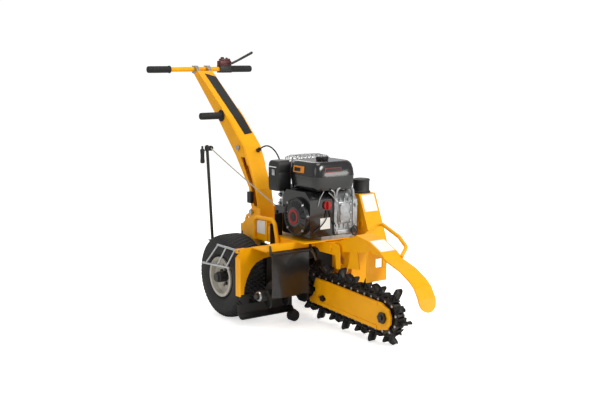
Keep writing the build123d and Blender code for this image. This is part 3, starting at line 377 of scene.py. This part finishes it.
def tyreSurface(spec, mirrored):
    # the outline, evenly resampled, turned about the axle; the tread falls by lugDepth between small blocks,
    # in six rows round the crown and a row of longer lugs on each shoulder
    outline = np.array(spec["outline"], float)
    run = np.concatenate([[0], np.cumsum(np.hypot(*np.diff(outline, axis=0).T))])
    at = np.linspace(0, run[-1], spec["across"])
    x, r = np.interp(at, run, outline[:, 0]), np.interp(at, run, outline[:, 1])
    soft = np.array([1, 2, 1]) / 4
    for _ in range(2):
        r[1:-1], x[1:-1] = np.convolve(r, soft, "valid"), np.convolve(x, soft, "valid")
    angle = np.linspace(0, 2 * pi, spec["around"], endpoint=False)
    a, xx = np.meshgrid(angle, x, indexing="ij")
    rr = np.broadcast_to(r, a.shape).copy()
    turns = a / (2 * pi) * spec["pitches"]
    row = np.clip(np.floor((np.abs(xx) + 8.5) / 17), 0, 3)
    phase = np.mod(turns + 0.5 * row + 0.012 * xx, 1.0)
    block = smoothStep(phase, 0.0, 0.12) * (1 - smoothStep(phase, 0.62, 0.76))
    groove = np.abs(np.mod(np.abs(xx) + 8.5, 17) - 8.5)
    rib = smoothStep(8.5 - groove, 0.4, 2.0)
    rib = np.where(np.abs(xx) > 59, 1.0, rib)
    tread = smoothStep(rr, 158, 168)
    rr = rr - spec["lugDepth"] * tread * (1 - block * rib)
    # raised rings on the sidewall
    for ring in (110, 116, 146):
        xx = xx - np.sign(xx) * 1.3 * (1 - tread) * np.exp(-((rr - ring) / 1.8) ** 2)
    flip = -1 if mirrored else 1
    xx = flip * (xx + spec["centre"][0])
    points = np.stack([xx, spec["centre"][1] + rr * np.sin(a), spec["centre"][2] + rr * np.cos(a)], -1) * mm
    return points, gridFaces(spec["around"], spec["across"], wrapU=True, wrapV=True)


for name, node, body, mirrored in (("tyreRight", "tyre_right", "right_wheel", False), ("tyreLeft", "tyre_left", "left_wheel", True)):
    points, faces = tyreSurface(tyre, mirrored)
    addMesh(name, points, faces, "tyreRubber", body, "tyre", [node], sharp=50)
    flip = -1 if mirrored else 1
    stemProfile = [(-6, 0), (-6, 3.2), (8, 3.2), (9, 4), (20, 4), (20.5, 0)]
    stem = turnedSurface(stemProfile, (flip * 284, -160 + 52, 186 + 40), (flip, 0.25, 0.2), 14)
    addMesh(name + "Valve", *stem, "softRubber", body, "tyre")
print("tyres ready")


# spoil auger on the drive shaft
auger = dict(centre=(0, 105, 146), x0=64, x1=264, turns=2.1, inner=23, outer=57.5, thickness=5, around=160)
a = np.linspace(0, 2 * pi * auger["turns"], auger["around"])
r = np.linspace(auger["inner"], auger["outer"], 8)
aa, rr = np.meshgrid(a, r, indexing="ij")
# right-hand screw: x rises with the angle, and the rim leans a little forward
xx = auger["x0"] + (auger["x1"] - auger["x0"] - auger["thickness"] - 6) * aa / a[-1] + 4 * ((rr - 23) / 35) ** 2
front = np.stack([xx, auger["centre"][1] + rr * np.cos(aa), auger["centre"][2] + rr * np.sin(aa)], -1)
back = front + (auger["thickness"], 0, 0)
loop = np.concatenate([front, back[:, ::-1]], axis=1) * mm
addMesh("augerFlight", loop, gridFaces(len(a), loop.shape[1]), "blackPowderCoat", "drive", "black_metal", ["auger"], sharp=40)
tube = turnedSurface([(60, 15.6), (60, 24), (266, 24), (270, 22), (270, 15.6)], (0, 105, 146), (1, 0, 0), 40)
addMesh("augerTube", *tube, "blackPowderCoat", "drive", "black_metal")
endCap = turnedSurface([(270.5, 15.7), (270.5, 21), (274, 22), (279, 20), (280, 15.7)], (0, 105, 146), (1, 0, 0), 32)
addMesh("augerEndCap", *endCap, "zincPlate", "drive", "zinc")
print("auger ready")


# digging chain: a racetrack round the head and nose rollers
chainRun = dict(head=(105, 146), nose=(605, 121), radius=62, links=32, start=0.35, x=-25)


def chainPlaces(spec):
    # middle, direction and outward normal of each link on the racetrack round the two centres
    head, nose = np.array(spec["head"], float), np.array(spec["nose"], float)
    reach = np.linalg.norm(nose - head)
    along = (nose - head) / reach
    up = np.array([-along[1], along[0]])
    total = 2 * reach + 2 * pi * spec["radius"]
    s = np.mod((np.arange(spec["links"]) + spec["start"]) * total / spec["links"], total)
    arc = pi * spec["radius"]
    noseTurn = pi / 2 - (s - reach) / spec["radius"]
    headTurn = -pi / 2 - (s - 2 * reach - arc) / spec["radius"]
    x = np.select([s < reach, s < reach + arc, s < 2 * reach + arc],
                  [s, reach + spec["radius"] * np.cos(noseTurn), reach - (s - reach - arc)], spec["radius"] * np.cos(headTurn))
    y = np.select([s < reach, s < reach + arc, s < 2 * reach + arc],
                  [np.full_like(s, spec["radius"]), spec["radius"] * np.sin(noseTurn), np.full_like(s, -spec["radius"])],
                  spec["radius"] * np.sin(headTurn))
    pins = head + x[:, None] * along + y[:, None] * up
    following = np.roll(pins, -1, axis=0)
    run = following - pins
    run /= np.linalg.norm(run, axis=1)[:, None]
    return (pins + following) / 2, run, np.stack([-run[:, 1], run[:, 0]], -1)


middles, runs, outs = chainPlaces(chainRun)
cutter = dict(height=59, foot=16, baseHalf=15, tipHalf=23, lean=-14, cup=11, thickness=12, rows=9, columns=13, notch=0.14, corner=8)


def cutterBlade(spec, hand):
    # a cup-shaped blade: height s runs from foot to tip, t across; it flares, leans back, curls at its sides
    # and dips in the middle of its edge
    s, t = np.meshgrid(np.linspace(0, 1, spec["rows"]), np.linspace(-1, 1, spec["columns"]), indexing="ij")
    half = spec["baseHalf"] + (spec["tipHalf"] - spec["baseHalf"]) * s ** 0.8 - spec["corner"] * s ** 7
    height = spec["foot"] + (spec["height"] - spec["foot"]) * s * (1 - spec["notch"] * s * (1 - np.abs(t) ** 1.8))
    tangent = spec["lean"] * s ** 1.4 - 2 + spec["cup"] * (t ** 2) * (0.2 + 0.8 * s)
    x = hand * (4 + 18 * s ** 1.2) + half * t
    face = np.stack([x, tangent, height], -1)
    back = face + np.stack([0 * s, spec["thickness"] * (1 - 0.45 * s), -1.5 * s], -1)
    loop = np.concatenate([face, back[:, ::-1]], axis=1)
    return loop, gridFaces(spec["rows"], loop.shape[1])


def blockBox(low, high, bevel=1.0):
    # a box with rounded edges
    low, high = np.asarray(low, float), np.asarray(high, float)
    work = bmesh.new()
    bmesh.ops.create_cube(work, size=1.0)
    for vert in work.verts:
        vert.co = Vector([low[k] if vert.co[k] < 0 else high[k] for k in range(3)])
    bmesh.ops.bevel(work, geom=list(work.edges), offset=bevel, segments=2, affect="EDGES", profile=0.5)
    verts = np.array([v.co[:] for v in work.verts])
    work.verts.index_update()
    faces = [[v.index for v in f.verts] for f in work.faces]
    work.free()
    return verts, faces


def boltHead(at, radius, height, segments=6):
    # a hexagon head with a chamfered top, standing along +z of the link
    ring = np.linspace(0, 2 * pi, segments, endpoint=False)
    layers = [(radius, 0), (radius, height * 0.75), (radius * 0.86, height)]
    points = np.array([[[at[0] + q * cos(k), at[1] + q * sin(k), at[2] + h] for k in ring] for q, h in layers])
    return points, gridFaces(3, segments)


def onLink(points, index):
    # link axes (across, along, outward) to the machine's
    points = np.asarray(points, float).reshape(-1, 3)
    y = middles[index, 0] + points[:, 1] * runs[index, 0] + points[:, 2] * outs[index, 0]
    z = middles[index, 1] + points[:, 1] * runs[index, 1] + points[:, 2] * outs[index, 1]
    return np.stack([chainRun["x"] + points[:, 0], y, z], -1) * mm


# low lugs on the links between the cutters, bolted down on wide pads
lugBlade = cutterBlade(dict(cutter, height=31, tipHalf=20, lean=-5, corner=5), 0)
lug = mergeParts([blockBox((-24, -14, 11.7), (24, 14, 18), 1.5), lugBlade,
                  boltHead((-15, 6, 17.8), 5.5, 5), boltHead((15, 6, 17.8), 5.5, 5)])
lugs = [(onLink(lug[0], k), lug[1]) for k in range(0, chainRun["links"], 2)]
addMesh("chainLugs", *mergeParts(lugs), "cutterSteel", "machine", "steel", sharp=45)
# bright riveted pin ends on both sides of the chain
pinEnds = []
for k in range(chainRun["links"]):
    for flip in (-1, 1):
        rivet, quads = turnedSurface([(20.8, 0), (20.8, 6.2), (22.4, 5.6), (23.2, 3.2), (23.4, 0)], (0, 0, 0), (flip, 0, 0), 12)
        pinEnds.append((onLink(rivet.reshape(-1, 3) / mm + (0, -21.73, 0), k), quads))
addMesh("chainPinEnds", *mergeParts(pinEnds), "zincPlate", "machine", "zinc")
for name, node, first, hand in (("cuttersRight", "cutters_right", 1, 1), ("cuttersLeft", "cutters_left", 3, -1)):
    lowBlade = cutterBlade(dict(cutter, height=42, tipHalf=19, lean=-9, corner=6), -hand)
    unit = [blockBox((-24, -17, 11.6), (24, 17, 18.4), 1.2), cutterBlade(cutter, hand), lowBlade,
            boltHead((-8 * hand, 9, 18.2), 6, 5), boltHead((9 * hand, 11, 18.2), 5, 5)]
    unitVerts, unitFaces = mergeParts(unit)
    parts = [(onLink(unitVerts, k), unitFaces) for k in range(first, chainRun["links"], 4)]
    addMesh(name, *mergeParts(parts), "cutterSteel", "machine", "black_metal", [node], sharp=45)
print("cutters ready")


# rubber curtain hung on its rod
curtain = dict(top=331, y=188.5, thickness=4.5, wave=7.0, rows=28, columns=44)
s, t = np.meshgrid(np.linspace(0, 1, curtain["rows"]), np.linspace(0, 1, curtain["columns"]), indexing="ij")
x = 73 + (262 - 4 * s - 73) * t
# a nearly straight lower edge; the sheet is held flat at the rod and curls in slow folds towards its free edge
bottom = 151 - 4 * (1 - t) + 2 * np.sin(t * 7)
z = curtain["top"] + (bottom - curtain["top"]) * s
y = curtain["y"] + curtain["wave"] * s * np.sin(x / 30 + 0.9) - 2 * s
sheetFront = np.stack([x, y + curtain["thickness"] / 2, z], -1)
sheetBack = sheetFront - (0, curtain["thickness"], 0)
loop = np.concatenate([sheetFront, sheetBack[:, ::-1]], axis=1) * mm
sleeve = turnedSurface([(72, 4.4), (72, 7.5), (262, 7.5), (262, 4.4)], (0, 188.5, 338), (1, 0, 0), 24)
sheetParts = mergeParts([(loop, gridFaces(curtain["rows"], loop.shape[1])), sleeve])
addMesh("rubberCurtain", *sheetParts, "glossRubber", "curtain", "rubber", ["curtain"])
print("curtain ready")


def ribbedGrip(x0, x1, centre, radius, rib=1.1, ribMm=5.0, flange=19, bore=12.1):
    # a moulded grip: rounded end, rings every ribMm, a flange at the inner end; x0 is the outer end
    way = 1 if x1 > x0 else -1
    length = abs(x1 - x0)
    along = np.arange(10, length - 8, 0.8)
    wave = radius - rib * (0.5 + 0.5 * np.cos(2 * pi * along / ribMm)) ** 3
    profile = [(0, 0), (0, radius * 0.6), (1.5, radius * 0.88), (5, radius - 0.2)]
    profile += [(p, w) for p, w in zip(along, wave)]
    profile += [(length - 7, radius), (length - 5, flange), (length - 1, flange), (length, flange - 1.5), (length, bore)]
    return turnedSurface([(p * way, q) for p, q in profile], (x0, centre[0], centre[1]), (1, 0, 0), 40)


addMesh("gripRight", *ribbedGrip(298, 175, (-833, 1090), 17), "softRubber", "machine", "rubber", ["grips"])
addMesh("gripLeft", *ribbedGrip(-298, -173, (-833, 1090), 17), "softRubber", "machine", "rubber")
addMesh("sideGripSleeve", *ribbedGrip(167, 48, (-556, 872), 17, flange=28, bore=1), "softRubber", "machine", "rubber", ["side_grip"])
pullProfile = [(-33, 0), (-32.5, 5), (-30, 9.6), (-24, 10.8), (-8, 9.2), (10, 9.2), (29, 10.8), (33, 9), (36, 4.8), (48, 4.6), (48, 0)]
pull = turnedSurface(pullProfile, (226, -437, 695), (0, 0, 1), 28)
addMesh("pullHandle", *pull, "softRubber", "starter_grip", "rubber", ["starter_grip"])
print("grips ready")


# tank: layers are height, width factor, length factor and corner power
tank = dict(centre=(-38, 135), layers=((590, 0.90, 0.91, 6), (592, 0.935, 0.94, 6.5), (604, 0.96, 0.965, 7), (646, 0.985, 0.985, 8),
                                       (654, 0.985, 0.985, 8), (676, 0.965, 0.965, 8), (698, 0.92, 0.92, 7), (707, 0.87, 0.87, 6),
                                       (711, 0.83, 0.83, 5.5), (712, 0.78, 0.78, 5.5), (710.4, 0.72, 0.72, 5.5), (710, 0.5, 0.5, 4),
                                       (710.6, 0.3, 0.3, 3)),
            half=(110, 104), around=96)


def superRing(z, kx, ky, power, spec):
    # a rounded rectangle: |x/a|^n + |y/b|^n = 1
    a = np.linspace(0, 2 * pi, spec["around"], endpoint=False)
    c, q = np.cos(a), np.sin(a)
    x = spec["half"][0] * kx * np.sign(c) * np.abs(c) ** (2 / power)
    y = spec["half"][1] * ky * np.sign(q) * np.abs(q) ** (2 / power)
    return np.stack([spec["centre"][0] + x, spec["centre"][1] + y, np.full_like(x, z)], -1)


rings = np.array([superRing(*layer, tank) for layer in tank["layers"]]) * mm
addMesh("fuelTank", rings, gridFaces(len(rings), tank["around"]), "blackStoveEnamel", "machine", "black_metal", ["fuel_tank"], sharp=60)
seamLayers = ((647, 0.96, 0.97), (647, 1.0, 1.0), (650, 1.005, 1.005), (653, 1.0, 1.0), (653, 0.96, 0.97))
seam = np.array([superRing(z, kx, ky, 7, tank) for z, kx, ky in seamLayers]) * mm
addMesh("tankSeam", seam, gridFaces(5, tank["around"]), "blackStoveEnamel", "machine", "black_metal")
print("tank ready")


# recoil starter's badge, rings, cooling fins and bolts
recoilHub = turnedSurface([(125, 0), (125, 19), (128, 19), (129.5, 17), (130, 0)], (0, 151, 480), (1, 0, 0), 40)
addMesh("recoilBadge", *recoilHub, "blackAbs", "machine", "black_metal")
badgeProfile = [(125.2, 20.5), (127.6, 20.5), (128, 21.5), (128, 33), (127.4, 34), (125.2, 34)]
badgeRing = turnedSurface(badgeProfile, (0, 151, 480), (1, 0, 0), 56)
addMesh("recoilBadgeRing", badgeRing[0], gridFaces(6, 56, wrapU=True), "redVinyl", "machine", "black_metal")
outerRing = turnedSurface([(110, 76), (116, 80.5), (119.5, 79.5), (119, 74), (115, 71.5), (110, 72)], (0, 151, 480), (1, 0, 0), 72)
addMesh("recoilRing", outerRing[0], gridFaces(6, 72, wrapU=True), "blackAbs", "machine", "black_metal")
fins = []
for k in range(28):
    angle = 2 * pi * k / 28
    low, high = blockBox((0, -1.4, 0), (5.5, 1.4, 24), 0.6)
    y = 151 + low[:, 1] * cos(angle) + (low[:, 2] + 42) * sin(angle)
    z = 480 - low[:, 1] * sin(angle) + (low[:, 2] + 42) * cos(angle)
    fins.append((np.stack([126 - (low[:, 2]) * 0.38 - 3 + low[:, 0], y, z], -1) * mm, high))
addMesh("recoilFins", *mergeParts(fins), "blackAbs", "machine", "black_metal", sharp=40)
recoilBolts = [turnedSurface([(112, 0), (112, 6), (119, 6), (120.5, 5), (120.5, 0)],
                             (0, 151 + 76 * cos(pi / 4 + k * pi / 2), 480 + 76 * sin(pi / 4 + k * pi / 2)), (1, 0, 0), 6) for k in range(4)]
addMesh("recoilBolts", *mergeParts(recoilBolts), "zincPlate", "machine", "zinc")
print("recoil ready")


# air cleaner shell, with the carburettor under it
airCleaner = dict(centre=(82, -14), half=(38.5, 40), around=72,
                  layers=((574, 0.90, 0.90, 7), (576, 0.95, 0.95, 7), (590, 1.0, 1.0, 7), (652, 1.0, 1.0, 7), (653.5, 0.985, 0.985, 7),
                          (656.5, 0.985, 0.985, 7), (658, 1.0, 1.0, 7), (684, 0.99, 0.99, 6.5), (696, 0.95, 0.95, 5.5), (702, 0.88, 0.88, 5),
                          (705, 0.78, 0.78, 4.5), (706, 0.6, 0.6, 4)))
rings = np.array([superRing(*layer, airCleaner) for layer in airCleaner["layers"]]) * mm
addMesh("airCleanerShell", rings, gridFaces(len(rings), airCleaner["around"]), "blackAbs", "machine", "black_plastic", ["air_cleaner"], sharp=55)
clip = blockBox((120.2, -16, 642), (123.5, 4, 668), 1.2)
stripe = blockBox((119.8, -44, 676), (121.2, 14, 680), 0.4)
addMesh("airCleanerClip", clip[0] * mm, clip[1], "zincPlate", "machine", "zinc")
addMesh("airCleanerStripe", stripe[0] * mm, stripe[1], "whiteVinyl", "machine", "black_plastic")
carb = [blockBox((38, -44, 488), (66, 0, 532), 4), blockBox((36, -40, 536), (68, -4, 574), 5)]
carb.append(turnedSurface([(0, 0), (0, 19), (3, 21), (20, 21), (22, 18), (22, 0)], (52, -22, 508), (0, 0, -1), 32))
carb.append(turnedSurface([(0, 0), (0, 8), (14, 8), (16, 6), (16, 0)], (66, -22, 552), (1, 0, 0), 16))
carb.append(turnedSurface([(0, 0), (0, 6), (10, 6), (10, 0)], (66, -32, 514), (1, 0, 0), 6))
addMesh("carburettor", *mergeParts([(p * mm, f) for p, f in carb[:2]] + carb[2:]), "castAluminium", "machine", "aluminium", sharp=40)
print("air cleaner ready")


def bent(points, radius, turns=5):
    # a rod through the points with its corners rounded by quadratic arcs
    points = np.asarray(points, float)
    path = [points[0]]
    for a, b, c in zip(points[:-2], points[1:-1], points[2:]):
        cutBack = min(np.linalg.norm(b - a), np.linalg.norm(c - b), 2 * 14) / 2
        p0, p2 = b + (a - b) / np.linalg.norm(a - b) * cutBack, b + (c - b) / np.linalg.norm(c - b) * cutBack
        for u in np.linspace(0, 1, turns):
            path.append((1 - u) ** 2 * p0 + 2 * u * (1 - u) * b + u * u * p2)
    path.append(points[-1])
    return sweptTube(np.array(path) * mm, radius * mm, 10)


cage = [bent([(x, -3, 624), (x, -3, 712 + lift), (x, -60, 717 + lift), (x, -113, 712 + lift), (x, -113, 624)], 2.2)
        for x, lift in ((-184, -6), (-163, 0), (-142, 0), (-121, 0), (-100, 0), (-79, 0), (-58, 0), (-37, 0), (-16, -6))]
cage += [bent([(-186, y, 640), (-186, y, 712), (-100, y, 715), (-14, y, 712), (-14, y, 640)], 2.2) for y in (-20, -58, -96)]
cage += [bent([(-186, y, z), (-14, y, z)], 2.2) for y in (-3, -113) for z in (630, 660, 690)]
cage += [bent([(x, -113, 640), (x, -113, 594)], 3) for x in (-70, -6)]
addMesh("mufflerCage", *mergeParts(cage), "zincPlate", "machine", "zinc", ["muffler_guard"])
print("muffler cage ready")


# bosses, cover, pipes and leads on the crankcase
details = []
for x, z, r in ((-36, 420, 7), (-140, 430, 7), (-144, 520, 7), (-36, 548, 7), (-92, 564, 6)):
    boss = [(232, 0), (232, r + 4), (238, r + 3), (238, r), (242, r), (243, r - 1), (243, 0)]
    details.append(turnedSurface(boss, (x, 0, z), (0, 1, 0), 20))
bosses, faces = mergeParts(details)
addMesh("crankcaseBosses", bosses, faces, "castAluminium", "machine", "aluminium", sharp=40)
coverPlate = blockBox((-118, 232, 442), (-46, 241, 540), 7)
coverRim = blockBox((-112, 240, 449), (-52, 246, 533), 5)
sump = blockBox((-150, 226, 398), (-28, 241, 418), 5)
cover = mergeParts([(p * mm, f) for p, f in (coverPlate, coverRim, sump)])
addMesh("crankcaseCover", *cover, "castAluminium", "machine", "aluminium", sharp=40)
coverBolts = [turnedSurface([(245, 0), (245, 4.5), (249, 4.5), (250, 3.6), (250, 0)], (x, 0, z), (0, 1, 0), 6)
              for x in (-106, -58) for z in (455, 491, 527)]
coverBolts.append(turnedSurface([(240, 0), (240, 7), (247, 7), (248, 6), (248, 0)], (-44, 0, 408), (0, 1, 0), 6))
addMesh("crankcaseBolts", *mergeParts(coverBolts), "zincPlate", "machine", "zinc")
pipes = [bent([(-44, 226, 560), (-44, 232, 592), (-74, 226, 604), (-96, 214, 590)], 6),
         bent([(-30, 238, 556), (-20, 244, 586), (-8, 238, 594)], 3.5),
         bent([(-136, 226, 556), (-140, 222, 586), (-124, 206, 598)], 7)]
addMesh("breatherPipes", *mergeParts(pipes), "castAluminium", "machine", "aluminium")
gasket = blockBox((-26.5, 230, 400), (-21, 238.5, 584), 1)
addMesh("sideGasket", gasket[0] * mm, gasket[1], "blackAbs", "machine", "black_plastic")
governor = [bent([(6, 240, 584), (-14, 246, 566), (-34, 246, 540), (-38, 246, 500)], 2.2),
            bent([(30, 238, 590), (52, 238, 560), (60, 238, 530)], 1.8)]
addMesh("governorRods", *mergeParts(governor), "zincPlate", "machine", "zinc")
wiring = [bent([(14, 240, 508), (20, 243, 470), (50, 241, 440), (84, 238, 420)], 2.6),
          bent([(2, 240, 508), (-14, 244, 470), (-30, 244, 436)], 2.2)]
addMesh("switchLeads", *mergeParts(wiring), "softRubber", "machine", "rubber")
loop = np.array([(-120 + 15 * cos(u), 259, 412 + 19 * sin(u)) for u in np.linspace(0, 2 * pi, 33)[:-1]])
ringTube = sweptTube(np.concatenate([loop, loop[:2]]) * mm, 3.6 * mm, 10)
stemCap = turnedSurface([(246.5, 0), (246.5, 12), (254, 12), (255, 11), (255, 0)], (-120, 0, 412), (0, 1, 0), 24)
addMesh("dipstickLoop", *mergeParts([ringTube, stemCap]), "blackAbs", "dipstick", "black_plastic", ["dipstick"])
print("engine details ready")


# ribbed cap on the belt cover
capProfile = [(0, 0), (0, 39.5), (2, 41), (7, 41), (8.5, 37.5), (10, 36.6), (52, 36.6), (54, 38.4), (59, 38.4), (62, 35.5),
              (62.6, 31), (61, 27), (61, 0)]
capPoints, capFaces = turnedSurface(capProfile, (-218, 182, 560.2), (0, 0, 1), 72)
addMesh("guardCap", capPoints, capFaces, "blackAbs", "machine", "black_plastic", ["guard_cap"], sharp=40)


# throttle housing on the handlebar
housing = [blockBox((-173, -850, 1103.5), (-103, -815, 1133), 6), blockBox((-168, -846, 1128), (-112, -818, 1143), 5)]
addMesh("controlHousing", *mergeParts([(p * mm, f) for p, f in housing]), "darkRedAbs", "machine", "black_plastic", ["control_box"], sharp=40)
saddle = [blockBox((-172, -851, 1071), (-104, -846.2, 1103), 2), blockBox((-172, -819.8, 1071), (-104, -813, 1103), 2),
          blockBox((-165, -851, 1071), (-111, -813, 1077.4), 2), blockBox((-174, -849, 1100), (-102, -813, 1107), 2)]
knobs = [turnedSurface([(0, 0), (0, 9), (4, 9.5), (9, 8), (10, 0)], (-126, -832, 1141), (0, 0, 1), 24),
         turnedSurface([(0, 0), (0, 6), (6, 6), (7, 0)], (-152, -832, 1141), (0, 0, 1), 24),
         turnedSurface([(0, 0), (0, 7), (6, 7), (7, 0)], (-136, -850, 1118), (0, -1, 0), 24)]
addMesh("controlSaddle", *mergeParts([(p * mm, f) for p, f in saddle] + knobs), "blackAbs", "machine", "black_plastic", sharp=40)
print("controls ready")


def label(name, corners, finish, slot, body="machine", thickness=0.7):
    addMesh(name, *plate(corners, thickness), finish, body, slot, smooth=False)


def guardPoint(x, t):
    # a point on the belt guard's sloping face, t from its top edge to its lower edge
    return (x, 221.6 + 35 * t, 560.2 - 82 * t)


label("guardLabel", [guardPoint(-255, 0.06), guardPoint(-184, 0.06), guardPoint(-184, 0.92), guardPoint(-255, 0.92)], "whiteVinyl", "yellow")
label("crumberLabel", [(12, 522, 418.6), (-62, 522, 418.6), (-62, 592, 385.8), (12, 592, 385.8)][::-1], "whiteVinyl", "yellow", "crumber")


def columnPoint(x, t, lift=0.4):
    # a point on the upper column's front face, t from its top to the joint
    y, z = -792 + 289 * t, 1082 - 217 * t
    return (x, y + 0.6 * lift, z + 0.8 * lift)


label("columnDecal", [columnPoint(12, 0.06), columnPoint(-40, 0.13), columnPoint(-40, 0.998), columnPoint(12, 0.998)][::-1], "blackVinyl", "yellow")


def lowerColumnPoint(x, t):
    # a point on the lower column's front face, t from the joint to its bend
    return (x, -503 + 143 * t + 0.27, 865 - 130 * t + 0.3)


label("columnDecalLower", [lowerColumnPoint(12, 0.002), lowerColumnPoint(-40, 0.002), lowerColumnPoint(-40, 0.56), lowerColumnPoint(6, 0.6)][::-1],
      "blackVinyl", "yellow")
label("footLabel", [(139.3, -112, 376), (139.3, -46, 376), (139.3, -46, 436), (139.3, -112, 432)], "whiteVinyl", "yellow")
label("shroudLabel", [(46, 235.4, 428), (-6, 235.4, 428), (-6, 235.4, 476), (46, 235.4, 476)][::-1], "whiteVinyl", "black_metal")
label("tankLabelSide", [(70.4, 72, 662), (70.4, 150, 662), (67.5, 150, 690), (67.5, 72, 690)], "amberVinyl", "black_metal")
label("tankLabelSideInner", [(70.3, 80, 667), (70.3, 124, 667), (68.6, 124, 683), (68.6, 80, 683)], "blackVinyl", "black_metal", thickness=1.1)
label("tankLabelFront", [(22, 237.2, 668), (-66, 237.2, 668), (-66, 234.1, 688), (22, 234.1, 688)][::-1], "redVinyl", "black_metal")
label("tankLabelFrontInner", [(19, 236.8, 670.5), (-63, 236.8, 670.5), (-63, 234.6, 685.5), (19, 234.6, 685.5)][::-1], "blackVinyl", "black_metal", thickness=1.1)
print("labels ready")
